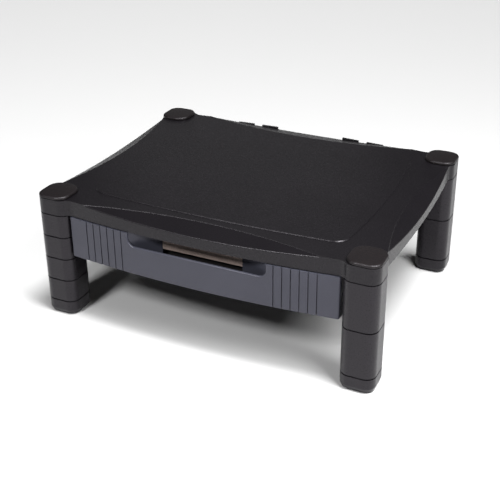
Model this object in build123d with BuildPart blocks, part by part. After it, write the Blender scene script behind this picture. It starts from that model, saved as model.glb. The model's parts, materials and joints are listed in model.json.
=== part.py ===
from build123d import *

import os

os.makedirs("parts", exist_ok=True)

# A monitor riser: a moulded platform on four legs of stacked columns, with a shallow drawer under
# it that slides out between two rails. Millimetres, +Z up, front towards -Y, floor at Z 0.

# ---- driving dimensions -------------------------------------------------------------------

# Legs: rounded square columns, each with a spigot that enters the piece above it
leg_span_x = 432.0
leg_span_y = 336.5
leg_side = 42.0
leg_corner = 12.5
leg_wall = 2.6
short_column = 29.7
tall_column = 2 * short_column
foot_height = 20.0
spigot_side = 36.2
spigot_corner = 9.6
spigot_height = 12.0
spigot_play = 0.3
seam_gap = 1.3
seam_depth = 1.3
edge_break = 0.4
pad_side = 34.0
pad_thickness = 3.5
pad_proud = 1.5
foot_taper_height = 5.0
foot_taper_angle = 20.0
pad_corner = leg_corner - (leg_side - pad_side) / 2

# The clips at the back reach further from the legs than the drawer bows forward, so the legs'
# centre stands this far in front of the origin
stand_y = -4.6

# Platform: half sizes at mid-side, where the skirt bows outward, and its virtual corner
skirt_half_x = 215.5
skirt_half_y = 171.4
skirt_corner_x = 208.4
skirt_corner_y = 156.4
skirt_bottom = foot_height + 4 * short_column
platform_top = 158.3
skirt_wall = 3.0
flare_radius = 12.0
rim_radius = 1.4
deck_thickness = 3.0
rim_ceiling = 146.0
deep_half_x = 190.0
deep_half_y = 137.0
rib_thickness = 1.8
rib_height = 6.0
rib_pitch = 60.0

# Raised panel that the monitor stands on
panel_rise = 1.0
panel_edge = 0.9
panel_half_x = 170.5
panel_half_y = 133.6
panel_corner_x = 162.6
panel_corner_y = 127.0
panel_radius = 20.0

# Lens-shaped facets along the rim: shallow cones about upright axes outside the platform
facet_step = 0.6
facet_depth = 60.0
end_facet_edge = 144.6
end_facet_radius = 600.0
end_facet_slope = 0.213
side_facet_edge = 195.7
side_facet_radius = 490.0
side_facet_slope = 0.39

# Corner caps
cap_half_inner_x = 176.0
cap_half_inner_y = 126.0
cap_corner = 14.0
cap_inner_corner = 16.0
cap_height = 4.9
cap_edge = 2.2
cap_dome_radius = 260.0
cap_gap = 0.8
peg_diameter = 6.0
peg_length = 3.0
peg_spacing = 16.0

# Drawer front: a shallow shell, bowed like the skirt, with ribbed ends and a finger pull
front_half_x = 172.0
front_bottom = 85.5
front_top = 137.5
front_bow = 172.6
front_end = 162.8
front_back = 151.8
front_wall = 2.6
groove_first = 97.0
groove_pitch = 10.0
groove_count = 6
groove_width = 1.2
groove_depth = 1.3
pull_half_width = 88.0
pull_back_half = 51.5
pull_end_z = 120.6
pull_mid_z = 122.4
pull_corner = 9.0
pull_floor = 101.0
pull_rim = 1.3
pull_turn_x = 79.0
pull_turn_depth = 11.5
pull_face_depth = 5.4
front_corner = 2.0

# Drawer tray
tray_half_x = 165.0
tray_front = 151.5
tray_depth = 261.5
tray_bottom = 88.0
tray_top = 134.0
tray_wall = 2.0
tray_corner = 8.0
tray_flange_half_x = 170.6
tray_flange_z = 131.7
grip_half_width = 60.0
grip_depth = 8.0
grip_top = 116.5
grip_bottom = 94.0

# Rails under the platform, and the stops that end the drawer's travel
rail_inner = 171.3
rail_wall = 2.0
rail_bottom = 129.0
rail_foot_inner = 166.4
rail_top = 146.0
rail_flange_inner = 157.0
rail_front = -136.0
rail_length = 266.0
drawer_travel = 200.0
stop_length = 3.0
lug_height = 2.5

# Screws
screw_diameter = 2.9
screw_head_diameter = 6.4
screw_head_height = 2.0
screw_head_round = 0.8
screw_play = 0.4
boss_diameter = 8.0
rail_screw_x = 162.0
rail_screw_ys = (-120.0, -5.0, 110.0)
front_screw_x = 120.0
front_screw_zs = (99.0, 124.0)
screw_length = 8.0
front_screw_length = 12.0
front_boss_length = 14.0

# Cable clips on the back of the skirt
clip_x = 79.0
clip_gap = 0.1
clip_width = 60.0
clip_reach = 12.4
clip_bottom = 139.0
clip_top = 148.0
clip_wall = 2.6
clip_mouth = 15.0
clip_corner = 5.0
clip_edge = 0.5
ear_width = 24.0
ear_top = 155.0
tab_spacing = 36.0
tab_width = 8.0
tab_height = 3.0
tab_proud = 1.5
tab_z = 142.3
tab_play = 0.3

# Room left at the blind end of a hole, round a peg or pad, and round a screw in its pilot hole
end_play = 0.5
side_play = 0.2
pilot_play = 0.05

# How far a cut runs past the surface that it opens, and how close counts as touching
overshoot = 5.0
touching = 0.1

# ---- worked out from them -----------------------------------------------------------------

leg_x = (leg_span_x - leg_side) / 2
leg_y = (leg_span_y - leg_side) / 2
corners = {
    "front_left": (-leg_x, -leg_y),
    "front_right": (leg_x, -leg_y),
    "rear_left": (-leg_x, leg_y),
    "rear_right": (leg_x, leg_y),
}
column_heights = {
    "front_left": [short_column] * 4,
    "front_right": [tall_column] * 2,
    "rear_left": [short_column] * 4,
    "rear_right": [tall_column] * 2,
}
deck_ceiling = platform_top - deck_thickness
socket_side = spigot_side + 2 * spigot_play
bore_side = spigot_side - 2 * leg_wall
bore_corner = spigot_corner - leg_wall
clip_y = skirt_half_y - clip_x**2 * (skirt_half_y - skirt_corner_y) / skirt_corner_x**2
clip_slope = 2 * clip_x * (skirt_half_y - skirt_corner_y) / skirt_corner_x**2


def level(height):
    """The horizontal plane at a height, centred between the legs."""
    return Plane((0, stand_y, height))


def upright(depth):
    """The plane facing forward at a depth behind the legs' centre; its own y runs up."""
    return Plane((0, stand_y + depth, 0), x_dir=(1, 0, 0), z_dir=(0, -1, 0))


def bowed(half_x, half_y, corner_x, corner_y):
    """A rectangle whose four sides bow outward from its corners to the given half sizes."""
    with BuildSketch() as outline:
        with BuildLine():
            ThreePointArc((-corner_x, -corner_y), (0, -half_y), (corner_x, -corner_y))
            ThreePointArc((corner_x, -corner_y), (half_x, 0), (corner_x, corner_y))
            ThreePointArc((corner_x, corner_y), (0, half_y), (-corner_x, corner_y))
            ThreePointArc((-corner_x, corner_y), (-half_x, 0), (-corner_x, -corner_y))
        make_face()
    return outline.sketch


def save(piece, name):
    """Label a finished piece and write it under its node's name."""
    piece.part.label = name
    export_step(piece.part, f"parts/{name}.step")


# ---- top platform -------------------------------------------------------------------------


def facet_plane(side_x, side_y, reach):
    """An upright plane through a facet's axis: its own x runs back towards the platform."""
    axis_point = (side_x * reach, stand_y + side_y * reach, 0)
    return Plane(axis_point, x_dir=(-side_x, -side_y, 0), z_dir=(-side_y, side_x, 0))


facets = [
    (0, -1, end_facet_edge, end_facet_radius, end_facet_slope),
    (0, 1, end_facet_edge, end_facet_radius, end_facet_slope),
    (-1, 0, side_facet_edge, side_facet_radius, side_facet_slope),
    (1, 0, side_facet_edge, side_facet_radius, side_facet_slope),
]

with BuildPart() as top_platform:
    # The skirt's outline: the bowed slab, and a square socket at each corner that it flares into
    with BuildSketch(level(skirt_bottom)) as skirt:
        add(bowed(skirt_half_x, skirt_half_y, skirt_corner_x, skirt_corner_y))
        with GridLocations(2 * leg_x, 2 * leg_y, 2, 2):
            RectangleRounded(leg_side, leg_side, leg_corner)
        waists = skirt.vertices().filter_by(
            lambda v: abs(v.X) < leg_x - leg_side / 4 or abs(v.Y) < leg_y - leg_side / 4
        )
        fillet(waists, flare_radius)
    extrude(amount=platform_top - skirt_bottom)
    skirt_wire = skirt.sketch.face().outer_wire()

    for side_x, side_y, edge, radius, slope in facets:
        plane = facet_plane(side_x, side_y, edge + radius)
        with BuildSketch(plane):
            with BuildLine():
                Polyline(
                    (radius, platform_top - facet_step),
                    (radius + facet_step, platform_top),
                    (radius + facet_step, platform_top + facet_depth),
                    (radius - facet_depth, platform_top + facet_depth),
                    (radius - facet_depth, platform_top - facet_step - slope * facet_depth),
                    close=True,
                )
            make_face()
        revolve(axis=Axis(plane.origin, (0, 0, 1)), mode=Mode.SUBTRACT)

    def on_rim(e):
        """True for the long edges where a facet meets the outside of the skirt."""
        middle = e @ 0.5
        at_skirt = Vertex(middle.X, middle.Y, skirt_bottom)
        long_and_high = e.length > 4 * leg_side and middle.Z > rim_ceiling
        return long_and_high and skirt_wire.distance_to(at_skirt) < touching

    fillet(top_platform.edges().filter_by(on_rim), rim_radius)

    # Raised panel
    with BuildSketch(level(platform_top)) as panel:
        add(bowed(panel_half_x, panel_half_y, panel_corner_x, panel_corner_y))
        fillet(panel.vertices(), panel_radius)
    extrude(amount=panel_rise)
    chamfer(top_platform.faces().sort_by(Axis.Z)[-1].edges(), panel_edge)

    # Hollow underside: a shallow space behind the skirt, and a deeper one under the deck
    with BuildSketch(level(skirt_bottom)):
        add(
            bowed(
                skirt_half_x - skirt_wall,
                skirt_half_y - skirt_wall,
                skirt_corner_x - skirt_wall,
                skirt_corner_y - skirt_wall,
            )
        )
        with GridLocations(2 * leg_x, 2 * leg_y, 2, 2):
            RectangleRounded(leg_side, leg_side, leg_corner, mode=Mode.SUBTRACT)
    extrude(amount=rim_ceiling - skirt_bottom, mode=Mode.SUBTRACT)
    with BuildSketch(level(rim_ceiling)):
        Rectangle(2 * deep_half_x, 2 * deep_half_y)
        with GridLocations(2 * leg_x, 2 * leg_y, 2, 2):
            Rectangle(leg_side, leg_side, mode=Mode.SUBTRACT)
    extrude(amount=deck_ceiling - rim_ceiling, mode=Mode.SUBTRACT)

    # Ribs under the deck, and bosses for the rail screws
    with BuildSketch(level(deck_ceiling)):
        with GridLocations(rib_pitch, 0, 5, 1):
            Rectangle(rib_thickness, 2 * deep_half_y)
        with GridLocations(0, rib_pitch, 1, 4):
            Rectangle(2 * deep_half_x, rib_thickness)
    extrude(amount=-rib_height)
    boss_places = [(x, y) for x in (-rail_screw_x, rail_screw_x) for y in rail_screw_ys]
    with BuildSketch(level(deck_ceiling)):
        with Locations(*boss_places):
            Circle(boss_diameter / 2)
    extrude(amount=rail_top - deck_ceiling)
    with BuildSketch(level(rail_top)):
        with Locations(*boss_places):
            Circle(screw_diameter / 2 + pilot_play)
    extrude(amount=screw_length - end_play, mode=Mode.SUBTRACT)

    # Sockets for the legs' top spigots, and blind holes for the caps' pegs
    with BuildSketch(level(skirt_bottom)):
        with GridLocations(2 * leg_x, 2 * leg_y, 2, 2):
            RectangleRounded(socket_side, socket_side, spigot_corner + spigot_play)
    extrude(amount=spigot_height + end_play, mode=Mode.SUBTRACT)
    with BuildSketch(level(platform_top)):
        with GridLocations(2 * leg_x, 2 * leg_y, 2, 2):
            with GridLocations(peg_spacing, 0, 2, 1):
                Circle(peg_diameter / 2 + side_play)
    extrude(amount=-(peg_length + end_play), mode=Mode.SUBTRACT)

    # Slots in the back of the skirt for the clips' tabs
    with BuildSketch(upright(skirt_half_y + overshoot)):
        for x in (-clip_x, clip_x):
            with Locations((x, tab_z)):
                with GridLocations(tab_spacing, 0, 2, 1):
                    Rectangle(tab_width + 2 * tab_play, tab_height + 2 * tab_play)
    extrude(amount=skirt_half_y + overshoot - deep_half_y, mode=Mode.SUBTRACT)
save(top_platform, "top_platform")


# ---- corner caps --------------------------------------------------------------------------


def corner_cap(side_x, side_y):
    """A low domed cap over one corner, with two pegs that press into the platform."""
    width = leg_span_x / 2 - cap_half_inner_x
    depth = leg_span_y / 2 - cap_half_inner_y
    centre = (side_x * (cap_half_inner_x + width / 2), side_y * (cap_half_inner_y + depth / 2))
    with BuildPart() as cap:
        with BuildSketch(level(platform_top)) as footprint:
            with Locations(centre):
                Rectangle(width, depth)
            by_reach = footprint.vertices().sort_by(lambda v: side_x * v.X + side_y * v.Y)
            fillet(by_reach[-1], leg_corner)
            inner = footprint.vertices().sort_by(lambda v: side_x * v.X + side_y * v.Y)
            fillet(inner[0], cap_inner_corner)
            free = footprint.vertices().filter_by(
                lambda v: abs(abs(v.X) - cap_half_inner_x) + abs(abs(v.Y) - leg_span_y / 2) < touching
                or abs(abs(v.X) - leg_span_x / 2) + abs(abs(v.Y) - cap_half_inner_y) < touching
            )
            fillet(free, cap_corner)
        extrude(amount=2 * cap_height)
        dome_z = platform_top + cap_height - cap_dome_radius
        with Locations((centre[0], stand_y + centre[1], dome_z)):
            Sphere(cap_dome_radius, mode=Mode.INTERSECT)
        fillet(cap.faces().sort_by(Axis.Z)[-1].edges(), cap_edge)
        with BuildSketch(level(platform_top)):
            add(footprint.sketch_local)
            offset(amount=-seam_depth, mode=Mode.SUBTRACT)
        extrude(amount=cap_gap, mode=Mode.SUBTRACT)
        with BuildSketch(level(platform_top)):
            with Locations((side_x * leg_x, side_y * leg_y)):
                with GridLocations(peg_spacing, 0, 2, 1):
                    Circle(peg_diameter / 2)
        extrude(amount=-peg_length)
    return cap


for corner, (x, y) in corners.items():
    save(corner_cap(x / leg_x, y / leg_y), f"corner_cap_{corner}")


# ---- legs ---------------------------------------------------------------------------------


def seam_ring(x, y, top):
    """What is cut from the top edge of a leg's piece, for the narrow gap under the next one."""
    with BuildSketch(level(top)) as ring:
        with Locations((x, y)):
            RectangleRounded(leg_side, leg_side, leg_corner)
            neck_side = leg_side - 2 * seam_depth
            RectangleRounded(neck_side, neck_side, leg_corner - seam_depth, mode=Mode.SUBTRACT)
    return ring.sketch


def leg_column(x, y, base, height):
    """One column: a square tube with a spigot on top, open underneath for the next spigot."""
    with BuildPart() as column:
        with BuildSketch(level(base)):
            with Locations((x, y)):
                RectangleRounded(leg_side, leg_side, leg_corner)
        extrude(amount=height)
        chamfer(column.faces().sort_by(Axis.Z)[0].edges(), edge_break)
        extrude(seam_ring(x, y, base + height), amount=-seam_gap, mode=Mode.SUBTRACT)
        with BuildSketch(level(base + height)):
            with Locations((x, y)):
                RectangleRounded(spigot_side, spigot_side, spigot_corner)
        extrude(amount=spigot_height)
        chamfer(column.faces().sort_by(Axis.Z)[-1].edges(), edge_break)
        with BuildSketch(level(base)):
            with Locations((x, y)):
                RectangleRounded(socket_side, socket_side, spigot_corner + spigot_play)
        extrude(amount=spigot_height + end_play, mode=Mode.SUBTRACT)
        with BuildSketch(level(base)):
            with Locations((x, y)):
                RectangleRounded(bore_side, bore_side, bore_corner)
        extrude(amount=height + spigot_height, mode=Mode.SUBTRACT)
    return column


def foot(x, y):
    """The lowest piece of a leg: drawn in towards the floor, recessed for its pad."""
    with BuildPart() as base:
        with BuildSketch(level(pad_proud + foot_taper_height)):
            with Locations((x, y)):
                RectangleRounded(leg_side, leg_side, leg_corner)
        extrude(amount=foot_height - pad_proud - foot_taper_height)
        extrude(seam_ring(x, y, foot_height), amount=-seam_gap, mode=Mode.SUBTRACT)
        with BuildSketch(level(pad_proud + foot_taper_height)):
            with Locations((x, y)):
                RectangleRounded(leg_side, leg_side, leg_corner)
        extrude(amount=-foot_taper_height, taper=foot_taper_angle)
        fillet(base.faces().sort_by(Axis.Z)[0].edges(), edge_break)
        with BuildSketch(level(foot_height)):
            with Locations((x, y)):
                RectangleRounded(spigot_side, spigot_side, spigot_corner)
        extrude(amount=spigot_height)
        chamfer(base.faces().sort_by(Axis.Z)[-1].edges(), edge_break)
        with BuildSketch(level(foot_height + spigot_height)):
            with Locations((x, y)):
                RectangleRounded(bore_side, bore_side, bore_corner)
        extrude(amount=-(foot_height + spigot_height - 2 * pad_thickness), mode=Mode.SUBTRACT)
        with BuildSketch(level(pad_proud)):
            with Locations((x, y)):
                recess_side = pad_side + 2 * side_play
                RectangleRounded(recess_side, recess_side, pad_corner + side_play)
        extrude(amount=pad_thickness - pad_proud, mode=Mode.SUBTRACT)
    return base


def foot_pad(x, y):
    """A rubber pad that stands a little proud of its foot."""
    with BuildPart() as pad:
        with BuildSketch(level(0)):
            with Locations((x, y)):
                RectangleRounded(pad_side, pad_side, pad_corner)
        extrude(amount=pad_thickness)
        chamfer(pad.faces().sort_by(Axis.Z)[0].edges(), edge_break)
    return pad


for corner, (x, y) in corners.items():
    save(foot(x, y), f"foot_{corner}")
    save(foot_pad(x, y), f"foot_pad_{corner}")
    base = foot_height
    for number, height in enumerate(column_heights[corner], start=1):
        save(leg_column(x, y, base, height), f"leg_{corner}_column_{number}")
        base += height


# ---- drawer front -------------------------------------------------------------------------


def behind_bow(back, inset):
    """The plan of the drawer front: bowed forward, straight behind, drawn in all round."""
    side = front_half_x - inset
    with BuildSketch() as plan:
        with BuildLine():
            ThreePointArc(
                (-side, -front_end + inset), (0, -front_bow + inset), (side, -front_end + inset)
            )
            Polyline(
                (side, -front_end + inset), (side, -back), (-side, -back), (-side, -front_end + inset)
            )
        make_face()
    return plan.sketch


def pull_plan(grow):
    """The finger pull from above: wide at the face, with walls that curve in to the tray."""
    start = (pull_half_width + grow, -front_bow - overshoot)
    face = (pull_half_width + grow, -front_bow + pull_face_depth)
    middle = (pull_turn_x + grow, -front_bow + pull_turn_depth + grow / 2)
    end = (pull_back_half + grow, -front_back)
    with BuildSketch() as plan:
        with BuildLine():
            Polyline((-start[0], start[1]), start, face)
            ThreePointArc(face, middle, end)
            Polyline(end, (-end[0], end[1]))
            ThreePointArc((-end[0], end[1]), (-middle[0], middle[1]), (-face[0], face[1]))
            Polyline((-face[0], face[1]), (-start[0], start[1]))
        make_face()
    return plan.sketch


with BuildPart() as pull_cut:
    # What is cut away above the lip: the pull's plan, rounded at its two lower corners
    with BuildSketch(level(front_bottom)):
        add(pull_plan(0))
    extrude(amount=front_top + overshoot - front_bottom)
    with BuildSketch(upright(0)) as mouth:
        with BuildLine():
            ThreePointArc(
                (-pull_half_width, pull_end_z), (0, pull_mid_z), (pull_half_width, pull_end_z)
            )
            Polyline(
                (pull_half_width, pull_end_z),
                (pull_half_width, front_top + overshoot),
                (-pull_half_width, front_top + overshoot),
                (-pull_half_width, pull_end_z),
            )
        make_face()
        fillet(mouth.vertices().group_by(Axis.Y)[0], pull_corner)
    extrude(amount=front_bow + 2 * overshoot, mode=Mode.INTERSECT)

with BuildPart() as drawer_front:
    height = front_top - front_bottom
    with BuildSketch(level(front_bottom)):
        add(behind_bow(front_back, 0))
    extrude(amount=height)
    outer = drawer_front.edges().filter_by(Axis.Z).group_by(Axis.Y)[0]
    fillet(outer, front_corner)
    # Hollow from behind, with a bottom, a top and two sides left standing
    with BuildSketch(level(front_bottom + front_wall)):
        add(behind_bow(front_back - overshoot, front_wall))
    extrude(amount=height - 2 * front_wall, mode=Mode.SUBTRACT)

    # Finger pull: its walls and floor stand behind the face, then it is hollowed out
    with BuildSketch(level(pull_floor - front_wall)):
        add(pull_plan(front_wall))
        add(behind_bow(front_back, front_wall / 2), mode=Mode.INTERSECT)
    extrude(amount=front_top - pull_floor + front_wall)
    with BuildSketch(level(pull_floor)):
        add(pull_plan(0))
        add(behind_bow(front_back - overshoot, front_wall), mode=Mode.INTERSECT)
    extrude(amount=front_top + overshoot - pull_floor, mode=Mode.SUBTRACT)
    add(pull_cut.part, mode=Mode.SUBTRACT)
    mouth_edges = drawer_front.faces().sort_by(Axis.Y)[0].edges().filter_by(
        lambda e: abs((e @ 0.5).X) < pull_half_width + touching
        and pull_end_z - touching < (e @ 0.5).Z < front_top - touching
    )
    fillet(mouth_edges, pull_rim)

    # Upright grooves at both ends
    with BuildSketch(level(front_bottom - overshoot)):
        add(behind_bow(front_back, -overshoot))
        add(behind_bow(front_back, groove_depth), mode=Mode.SUBTRACT)
        with BuildSketch(mode=Mode.INTERSECT):
            for number in range(groove_count):
                x = groove_first + number * groove_pitch
                with Locations((-x, -front_bow), (x, -front_bow)):
                    Rectangle(groove_width, 2 * (front_bow - front_back))
    extrude(amount=height + 2 * overshoot, mode=Mode.SUBTRACT)

    # Screw bosses behind the face
    screw_places = [(x, z) for x in (-front_screw_x, front_screw_x) for z in front_screw_zs]
    with BuildSketch(upright(-front_back)):
        with Locations(*screw_places):
            Circle(boss_diameter / 2)
    extrude(amount=front_boss_length)
    with BuildSketch(upright(-front_back)):
        with Locations(*screw_places):
            Circle(screw_diameter / 2 + pilot_play)
    extrude(amount=front_screw_length, mode=Mode.SUBTRACT)
save(drawer_front, "drawer_front")


# ---- drawer tray --------------------------------------------------------------------------

tray_centre_y = -tray_front + tray_depth / 2

with BuildPart() as drawer_tray:
    with BuildSketch(level(tray_bottom)):
        with Locations((0, tray_centre_y)):
            Rectangle(2 * tray_half_x, tray_depth)
    extrude(amount=tray_top - tray_bottom)
    fillet(drawer_tray.edges().filter_by(Axis.Z).group_by(Axis.Y)[-1], tray_corner)
    # Flanges that ride on the rails
    with BuildSketch(level(tray_flange_z)):
        with Locations((0, tray_centre_y)):
            Rectangle(2 * tray_flange_half_x, tray_depth - 4 * tray_corner)
    extrude(amount=tray_wall)
    with BuildSketch(level(tray_bottom + tray_wall)) as inside:
        with Locations((0, tray_centre_y)):
            Rectangle(2 * (tray_half_x - tray_wall), tray_depth - 2 * tray_wall)
        fillet(inside.vertices(), tray_corner - tray_wall)
    extrude(amount=tray_top, mode=Mode.SUBTRACT)
    # Room for fingertips behind the pull: the front wall steps in below its top band
    with BuildSketch(level(grip_bottom - tray_wall)):
        with Locations((0, -tray_front + (grip_depth + tray_wall) / 2)):
            Rectangle(2 * (grip_half_width + tray_wall), grip_depth + tray_wall)
    extrude(amount=grip_top - grip_bottom + 2 * tray_wall)
    with BuildSketch(level(grip_bottom)):
        with Locations((0, -tray_front + grip_depth / 2)):
            Rectangle(2 * grip_half_width, grip_depth)
    extrude(amount=grip_top - grip_bottom, mode=Mode.SUBTRACT)
    # Lugs that meet the rails' stops when the drawer is all the way out
    lug_y = rail_front + drawer_travel + stop_length + end_play + stop_length / 2
    lug_width = tray_flange_half_x - tray_half_x
    with BuildSketch(level(tray_flange_z + tray_wall)):
        for side in (-1, 1):
            with Locations((side * (tray_half_x + lug_width / 2), lug_y)):
                Rectangle(lug_width, stop_length)
    extrude(amount=lug_height)
    with BuildSketch(upright(-tray_front + 2 * tray_wall)):
        with Locations(*screw_places):
            Circle((screw_diameter + screw_play) / 2)
    extrude(amount=4 * tray_wall, mode=Mode.SUBTRACT)
save(drawer_tray, "drawer_tray")


# ---- rails --------------------------------------------------------------------------------


def rail(side):
    """A channel hung from the platform; the tray's flange rides on its inward foot."""
    outer = rail_inner + rail_wall
    with BuildPart() as channel:
        profile = Plane((0, stand_y + rail_front, 0), x_dir=(side, 0, 0), z_dir=(0, -side, 0))
        with BuildSketch(profile):
            with BuildLine():
                Polyline(
                    (rail_foot_inner, rail_bottom),
                    (outer, rail_bottom),
                    (outer, rail_top),
                    (rail_flange_inner, rail_top),
                    (rail_flange_inner, rail_top - rail_wall),
                    (rail_inner, rail_top - rail_wall),
                    (rail_inner, rail_bottom + rail_wall),
                    (rail_foot_inner, rail_bottom + rail_wall),
                    close=True,
                )
            make_face()
        extrude(amount=-side * rail_length)
        # Stop at the front end, above the path of the flange
        stop_bottom = tray_flange_z + tray_wall + end_play
        stop_width = rail_inner - tray_half_x - end_play
        with BuildSketch(level(stop_bottom)):
            with Locations((side * (rail_inner - stop_width / 2), rail_front + stop_length / 2)):
                Rectangle(stop_width, stop_length)
        extrude(amount=rail_top - rail_wall - stop_bottom)
        with BuildSketch(level(rail_top - 2 * rail_wall)):
            with Locations(*[(side * rail_screw_x, y) for y in rail_screw_ys]):
                Circle((screw_diameter + screw_play) / 2)
        extrude(amount=2 * rail_wall, mode=Mode.SUBTRACT)
    return channel


save(rail(-1), "rail_left")
save(rail(1), "rail_right")


# ---- screws -------------------------------------------------------------------------------

with BuildPart() as rail_screws:
    head_z = rail_top - rail_wall
    with BuildSketch(level(head_z)):
        with Locations(*boss_places):
            Circle(screw_head_diameter / 2)
    extrude(amount=-screw_head_height)
    with BuildSketch(level(head_z)):
        with Locations(*boss_places):
            Circle(screw_diameter / 2)
    extrude(amount=screw_length)
    rims = rail_screws.faces().group_by(Axis.Z)[0].edges()
    fillet(rims, screw_head_round)
save(rail_screws, "rail_screws")

with BuildPart() as drawer_front_screws:
    head_y = -tray_front + tray_wall
    with BuildSketch(upright(head_y)):
        with Locations(*screw_places):
            Circle(screw_head_diameter / 2)
    extrude(amount=-screw_head_height)
    with BuildSketch(upright(head_y)):
        with Locations(*screw_places):
            Circle(screw_diameter / 2)
    extrude(amount=front_screw_length)
    rims = drawer_front_screws.faces().group_by(Axis.Y)[-1].edges()
    fillet(rims, screw_head_round)
save(drawer_front_screws, "drawer_front_screws")


# ---- cable clips --------------------------------------------------------------------------


def cable_clip(side):
    """An open loop that holds cables against the back of the skirt."""
    lean = (1, -side * clip_slope, 0)
    foot_point = (side * clip_x, stand_y + clip_y + clip_gap, clip_bottom)
    base = Plane(foot_point, x_dir=lean, z_dir=(0, 0, 1))
    with BuildPart() as clip:
        with BuildSketch(base) as loop:
            with Locations((0, clip_reach / 2)):
                Rectangle(clip_width, clip_reach)
            fillet(loop.vertices().group_by(Axis.Y)[-1], clip_corner)
            with Locations((0, clip_reach / 2)):
                RectangleRounded(
                    clip_width - 2 * clip_wall,
                    clip_reach - 2 * clip_wall,
                    clip_corner - clip_wall,
                    mode=Mode.SUBTRACT,
                )
            with Locations((0, clip_reach)):
                Rectangle(clip_mouth, 3 * clip_wall, mode=Mode.SUBTRACT)
        extrude(amount=clip_top - clip_bottom)
        fillet(clip.faces().sort_by(Axis.Z)[-1].edges(), clip_edge)
        # Two ears that stand up against the skirt, as high as its rim
        with BuildSketch(base.offset(clip_top - clip_edge - clip_bottom)):
            with Locations((0, clip_wall / 2)):
                with GridLocations(clip_width - ear_width, 0, 2, 1):
                    Rectangle(ear_width, clip_wall)
        extrude(amount=ear_top - clip_top + clip_edge)
        fillet(clip.faces().group_by(Axis.Z)[-1].edges(), clip_edge)
        # Tabs that enter the slots in the skirt
        tab_length = skirt_wall + tab_proud + clip_wall / 2
        with BuildSketch(base.offset(tab_z - tab_height / 2 - clip_bottom)):
            with Locations((0, (clip_wall - tab_length) / 2)):
                with GridLocations(tab_spacing, 0, 2, 1):
                    Rectangle(tab_width, tab_length)
        extrude(amount=tab_height)
    return clip


save(cable_clip(-1), "cable_clip_left")
save(cable_clip(1), "cable_clip_right")
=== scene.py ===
import json
import math

import bpy
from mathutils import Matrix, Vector

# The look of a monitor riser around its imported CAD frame. Metres, +Z up, front towards -Y.

MM = 0.001

# The tray's front wall shows through the finger pull. Painted light: the top band of that black
# wall is lifted paler and browner for the light it catches there, from this height up, on what lies
# in front of this depth
TRAY_PAINTED_LIGHT_BOTTOM = 116.6 * MM
TRAY_FRONT_Y = -155.0 * MM
TRAY_PAINTED_LIGHT_LIFT = (28, 24, 22)

# Every moulding: how shiny it is, the faint tint of its highlights, how far its roughness strays,
# and the broad flow marks that vary its colour and level
MOULDED_SPECULAR = 0.3
MOULDED_SPECULAR_TINT = (0.98, 0.94, 1.0, 1.0)
ROUGHNESS_STRAY = 0.10
FLOW_SIZE = 60 * MM
FLOW_DEPTH = 0.25 * MM
FLOW_STRENGTH = 0.3
FLOW_MOTTLE = 0.08

FLOOR_HALF_SIZE = 12.0
FLOOR_GREY = 0.50
LIGHT_AIM = Vector((0, 0, 0.1))

# The surroundings' grey against the sine of the height above the horizon
SKY_GREYS = ((0.0, 0.70), (0.07, 0.40), (0.15, 0.07), (0.35, 0.02), (0.75, 0.01))

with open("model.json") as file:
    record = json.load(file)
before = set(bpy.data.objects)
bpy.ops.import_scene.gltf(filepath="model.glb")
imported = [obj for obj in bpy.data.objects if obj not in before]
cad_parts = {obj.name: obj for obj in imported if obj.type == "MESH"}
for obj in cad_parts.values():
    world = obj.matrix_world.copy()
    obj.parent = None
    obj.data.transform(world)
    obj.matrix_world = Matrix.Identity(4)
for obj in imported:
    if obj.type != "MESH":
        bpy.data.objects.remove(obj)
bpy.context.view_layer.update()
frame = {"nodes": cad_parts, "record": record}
nodes = frame["nodes"]


# ---- camera -------------------------------------------------------------------------------

VIEW_AZIMUTH = math.radians(24.62)
VIEW_ELEVATION = math.radians(25.48)
VIEW_DISTANCE = 1303 * MM
VIEW_TARGET = Vector((-29.2, 83.2, 80.0)) * MM
LENS = 67.97
SHIFT = (-0.032, -0.100)


def direction(azimuth, elevation):
    """The unit vector from the object towards a viewer or light; azimuth 0 is the front."""
    flat = math.cos(elevation)
    return Vector((math.sin(azimuth) * flat, -math.cos(azimuth) * flat, math.sin(elevation)))


def add_camera():
    data = bpy.data.cameras.new("camera")
    data.lens = LENS
    data.shift_x, data.shift_y = SHIFT
    camera = bpy.data.objects.new("camera", data)
    bpy.context.scene.collection.objects.link(camera)
    away = direction(VIEW_AZIMUTH, VIEW_ELEVATION)
    camera.location = VIEW_TARGET + VIEW_DISTANCE * away
    camera.rotation_euler = away.to_track_quat("Z", "Y").to_euler()
    bpy.context.scene.camera = camera


add_camera()


# ---- materials ----------------------------------------------------------------------------


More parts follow.
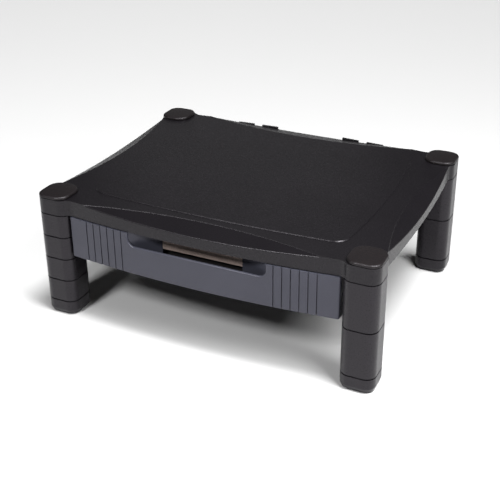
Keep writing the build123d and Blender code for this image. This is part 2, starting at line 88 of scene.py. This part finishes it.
class Nodes:
    """A short way to build a material's node tree."""

    def __init__(self, name):
        self.material = bpy.data.materials.new(name)
        self.material.use_nodes = True
        self.tree = self.material.node_tree
        self.bsdf = self.tree.nodes["Principled BSDF"]
        self.place = self.add("ShaderNodeTexCoord").outputs["Object"]

    def add(self, kind, **settings):
        node = self.tree.nodes.new(kind)
        for key, value in settings.items():
            setattr(node, key, value)
        return node

    def link(self, source, target):
        self.tree.links.new(source, target)

    def noise(self, size, detail=2.0, roughness=0.5):
        """Smooth noise whose features are about this many metres across."""
        node = self.add("ShaderNodeTexNoise")
        node.inputs["Scale"].default_value = 1 / size
        node.inputs["Detail"].default_value = detail
        node.inputs["Roughness"].default_value = roughness
        self.link(self.place, node.inputs["Vector"])
        return node.outputs["Fac"]

    def pebbles(self, size):
        """Rounded cells about this many metres across, as a spark-eroded mould leaves."""
        node = self.add("ShaderNodeTexVoronoi", feature="SMOOTH_F1")
        node.inputs["Scale"].default_value = 1 / size
        node.inputs["Smoothness"].default_value = 0.6
        self.link(self.place, node.inputs["Vector"])
        return node.outputs["Distance"]

    def spread(self, value, low, high):
        """The value's 0.3 to 0.7, which is most of a noise, carried to low to high."""
        node = self.add("ShaderNodeMapRange")
        node.inputs["From Min"].default_value = 0.3
        node.inputs["From Max"].default_value = 0.7
        node.inputs["To Min"].default_value = low
        node.inputs["To Max"].default_value = high
        self.link(value, node.inputs["Value"])
        return node.outputs["Result"]

    def tint(self, fac, dark, light):
        """A colour between dark and light."""
        node = self.add("ShaderNodeMix", data_type="RGBA")
        node.inputs["A"].default_value = (*dark, 1)
        node.inputs["B"].default_value = (*light, 1)
        self.link(fac, node.inputs["Factor"])
        return node.outputs["Result"]

    def painted_light_band(self):
        """1 on the top band of the tray's front face, where light is painted, and 0 elsewhere."""
        parts = self.add("ShaderNodeSeparateXYZ")
        self.link(self.place, parts.inputs["Vector"])
        above = self.add("ShaderNodeMath", operation="GREATER_THAN")
        above.inputs[1].default_value = TRAY_PAINTED_LIGHT_BOTTOM
        self.link(parts.outputs["Z"], above.inputs[0])
        ahead = self.add("ShaderNodeMath", operation="LESS_THAN")
        ahead.inputs[1].default_value = TRAY_FRONT_Y
        self.link(parts.outputs["Y"], ahead.inputs[0])
        both = self.add("ShaderNodeMath", operation="MULTIPLY")
        self.link(above.outputs["Value"], both.inputs[0])
        self.link(ahead.outputs["Value"], both.inputs[1])
        return both.outputs["Value"]

    def times(self, first, second):
        """Two colours multiplied."""
        node = self.add("ShaderNodeMix", data_type="RGBA", blend_type="MULTIPLY")
        node.inputs["Factor"].default_value = 1.0
        self.link(first, node.inputs["A"])
        self.link(second, node.inputs["B"])
        return node.outputs["Result"]

    def bump(self, height, depth, strength=1.0, under=None):
        """Relief this many metres deep, over what is under it."""
        node = self.add("ShaderNodeBump")
        node.inputs["Distance"].default_value = depth
        node.inputs["Strength"].default_value = strength
        self.link(height, node.inputs["Height"])
        if under:
            self.link(under, node.inputs["Normal"])
        return node.outputs["Normal"]


def scaled(colour, factor):
    return tuple(channel * factor for channel in colour)


def moulded_plastic(name, colour, roughness, grain, depth, speck=0.12, painted_light=None):
    """Moulded plastic: a pebbled mould texture, specks that catch light, and faint flow marks.

    The grain's size and depth are in metres. Painted light is how far the tray's front band is
    lifted paler, as painted light on that band.
    """
    build = Nodes(name)
    broad = build.noise(FLOW_SIZE, detail=3.0)
    fine = build.noise(grain, detail=2.0, roughness=0.7)
    cells = build.pebbles(grain)
    blotch = build.spread(broad, 0, 1)
    flow = build.tint(blotch, scaled(colour, 1 - FLOW_MOTTLE), scaled(colour, 1 + FLOW_MOTTLE))
    specks = build.tint(build.spread(fine, 0, 1), (1 - speck,) * 3, (1 + speck,) * 3)
    # Painted light: the tray front wall's top band is lifted paler for the light it catches through
    # the pull
    if painted_light:
        flow = build.times(flow, build.tint(build.painted_light_band(), (1, 1, 1), painted_light))
    build.link(build.times(flow, specks), build.bsdf.inputs["Base Color"])
    rough = build.spread(fine, roughness + ROUGHNESS_STRAY, roughness - ROUGHNESS_STRAY)
    build.link(rough, build.bsdf.inputs["Roughness"])
    waves = build.bump(broad, FLOW_DEPTH, FLOW_STRENGTH)
    relief = build.bump(cells, depth, under=waves)
    build.link(relief, build.bsdf.inputs["Normal"])
    build.bsdf.inputs["Specular IOR Level"].default_value = MOULDED_SPECULAR
    build.bsdf.inputs["Specular Tint"].default_value = MOULDED_SPECULAR_TINT
    return build.material


def rubber(name, colour):
    """Dull, gritty rubber."""
    build = Nodes(name)
    grit = build.noise(0.5 * MM, detail=3.0)
    shades = build.tint(grit, scaled(colour, 0.7), scaled(colour, 1.3))
    build.link(shades, build.bsdf.inputs["Base Color"])
    build.link(build.bump(grit, 0.1 * MM, 0.6), build.bsdf.inputs["Normal"])
    build.bsdf.inputs["Roughness"].default_value = 0.85
    return build.material


def plated_steel(name, colour):
    """Zinc plate, with smears that vary its colour and gloss."""
    build = Nodes(name)
    build.bsdf.inputs["Metallic"].default_value = 1.0
    smear = build.noise(1.2 * MM, detail=3.0)
    shades = build.tint(smear, scaled(colour, 0.8), scaled(colour, 1.1))
    build.link(shades, build.bsdf.inputs["Base Color"])
    build.link(build.spread(smear, 0.25, 0.42), build.bsdf.inputs["Roughness"])
    return build.material


materials = {
    "platform": moulded_plastic(
        "platform_black",
        colour=(0.0046, 0.0040, 0.0049),
        roughness=0.34,
        grain=1.8 * MM,
        depth=0.07 * MM,
        speck=0.40,
    ),
    "cap": moulded_plastic(
        "cap_black",
        colour=(0.0054, 0.0042, 0.0044),
        roughness=0.44,
        grain=2.0 * MM,
        depth=0.16 * MM,
        speck=0.45,
    ),
    "leg": moulded_plastic(
        "leg_black",
        colour=(0.0084, 0.0073, 0.0090),
        roughness=0.32,
        grain=1.3 * MM,
        depth=0.05 * MM,
        speck=0.25,
    ),
    "drawer_face": moulded_plastic(
        "slate_grey",
        colour=(0.036, 0.037, 0.049),
        roughness=0.36,
        grain=1.0 * MM,
        depth=0.04 * MM,
        speck=0.08,
    ),
    "tray": moulded_plastic(
        "tray_black",
        colour=(0.010, 0.0092, 0.0090),
        roughness=0.55,
        grain=1.4 * MM,
        depth=0.10 * MM,
        speck=0.20,
        # painted light on the top band of the tray's front wall
        painted_light=TRAY_PAINTED_LIGHT_LIFT,
    ),
    "rail": moulded_plastic(
        "rail_black", colour=(0.012, 0.012, 0.012), roughness=0.45, grain=0.8 * MM, depth=0.04 * MM
    ),
    "clip": moulded_plastic(
        "clip_black", colour=(0.005, 0.005, 0.0055), roughness=0.30, grain=0.6 * MM, depth=0.02 * MM
    ),
    "pad": rubber("pad_rubber", (0.010, 0.010, 0.010)),
    "screw": plated_steel("zinc_plate", (0.50, 0.50, 0.52)),
}

for part in frame["record"]["subparts"]:
    mesh = nodes[part["node"]].data
    mesh.materials.clear()
    mesh.materials.append(materials[part["material_slot"]])


# ---- floor, light and surroundings --------------------------------------------------------


def add_floor():
    mesh = bpy.data.meshes.new("floor")
    reach = FLOOR_HALF_SIZE
    corners = [(-reach, -reach, 0), (reach, -reach, 0), (reach, reach, 0), (-reach, reach, 0)]
    mesh.from_pydata(corners, [], [(0, 1, 2, 3)])
    floor = bpy.data.objects.new("floor", mesh)
    bpy.context.scene.collection.objects.link(floor)
    build = Nodes("pale_floor")
    build.bsdf.inputs["Base Color"].default_value = (FLOOR_GREY, FLOOR_GREY, FLOOR_GREY, 1)
    build.bsdf.inputs["Roughness"].default_value = 0.9
    build.bsdf.inputs["Specular IOR Level"].default_value = 0.1
    mesh.materials.append(build.material)


def add_softbox(name, azimuth, elevation, distance, size, power):
    """A square area light that faces the object from a compass direction and a height."""
    data = bpy.data.lights.new(name, "AREA")
    data.shape = "SQUARE"
    data.size = size
    data.energy = power
    light = bpy.data.objects.new(name, data)
    bpy.context.scene.collection.objects.link(light)
    away = direction(math.radians(azimuth), math.radians(elevation))
    light.location = LIGHT_AIM + distance * away
    light.rotation_euler = away.to_track_quat("Z", "Y").to_euler()


def add_sun(name, azimuth, elevation, spread, strength):
    """A distant lamp that lights the whole floor evenly, as wide as its spread in degrees."""
    data = bpy.data.lights.new(name, "SUN")
    data.angle = math.radians(spread)
    data.energy = strength
    light = bpy.data.objects.new(name, data)
    bpy.context.scene.collection.objects.link(light)
    away = direction(math.radians(azimuth), math.radians(elevation))
    light.rotation_euler = away.to_track_quat("Z", "Y").to_euler()


def add_surroundings():
    """A sweep that is bright along the horizon, darker overhead, and black below the horizon."""
    world = bpy.data.worlds.new("studio")
    bpy.context.scene.world = world
    world.use_nodes = True
    tree = world.node_tree
    place = tree.nodes.new("ShaderNodeTexCoord")
    height = tree.nodes.new("ShaderNodeSeparateXYZ")
    ramp = tree.nodes.new("ShaderNodeValToRGB")
    # The ramp's own black stop at 0 stays, first in line: it is what lies below the horizon
    ramp.color_ramp.elements.remove(ramp.color_ramp.elements[1])
    for place_up, grey in SKY_GREYS:
        stop = ramp.color_ramp.elements.new(place_up)
        stop.color = (grey, grey, grey, 1)
    tree.links.new(place.outputs["Generated"], height.inputs["Vector"])
    tree.links.new(height.outputs["Z"], ramp.inputs["Fac"])
    tree.links.new(ramp.outputs["Color"], tree.nodes["Background"].inputs["Color"])


add_floor()
add_surroundings()
add_sun("overhead", azimuth=85, elevation=76, spread=18, strength=4.6)
add_softbox("right_key", azimuth=64, elevation=44, distance=1.0, size=0.4, power=12)
add_softbox("front_key", azimuth=-16, elevation=40, distance=1.6, size=0.28, power=20)
add_softbox("rear_card", azimuth=207, elevation=26, distance=2.0, size=0.9, power=0.5)
bpy.context.scene.view_settings.view_transform = "Standard"
